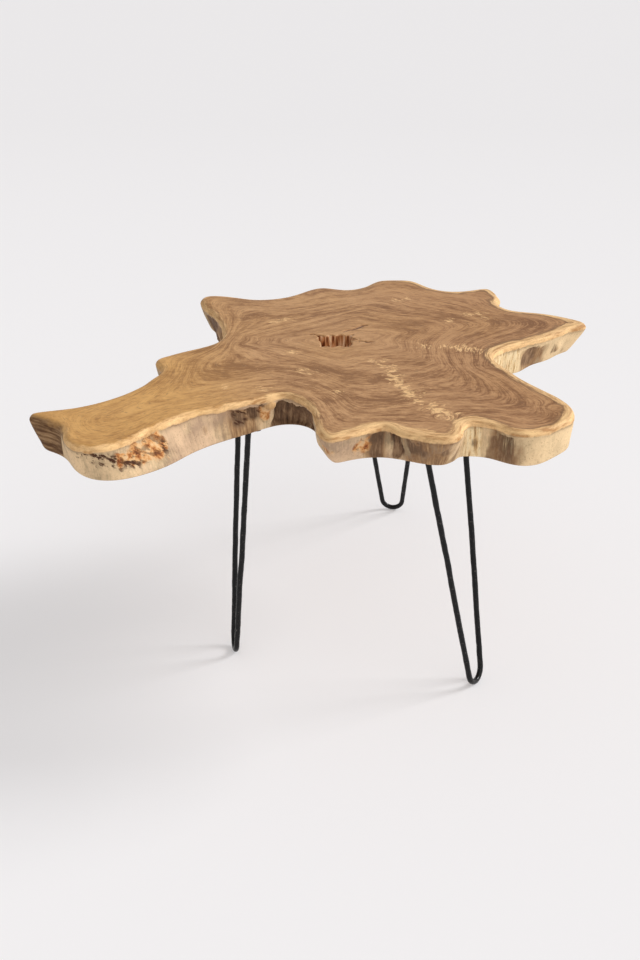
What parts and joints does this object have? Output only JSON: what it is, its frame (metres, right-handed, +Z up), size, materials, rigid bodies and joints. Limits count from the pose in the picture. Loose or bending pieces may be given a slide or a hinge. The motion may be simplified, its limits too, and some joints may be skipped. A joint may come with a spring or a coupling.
{
  "type": "tree slice side table",
  "caption": "Low side table: a live-edge cross-cut wood slice with lobed outline and rounded upper edge, on bent round-bar hairpin legs welded to plates screwed under it.",
  "frame": {"origin": "middle of the table's box, on the floor", "axes": "+X along the slice's long side with the long limb at -X, +Y from the front edge to the back, +Z up"},
  "size_m": [0.8176, 0.7103, 0.45],
  "materials": {
    "teak": "sanded, clear oiled, bare sides",
    "black_iron": "semi-matte black paint over hand-bent bar",
    "black_plate": "semi-matte black paint on flat steel",
    "weld_metal": "painted weld bead",
    "screw_steel": "zinc plated"
  },
  "bodies": {
    "root": {"slab_top": "teak", "front_left_leg_bar": "black_iron", "front_left_mounting_plate": "black_plate", "front_left_weld_beads": "weld_metal", "front_left_wood_screws": "screw_steel", "front_right_leg_bar": "black_iron", "front_right_mounting_plate": "black_plate", "front_right_weld_beads": "weld_metal", "front_right_wood_screws": "screw_steel", "rear_leg_bar": "black_iron", "rear_mounting_plate": "black_plate", "rear_weld_beads": "weld_metal", "rear_wood_screws": "screw_steel"}
  },
  "joints": []
}
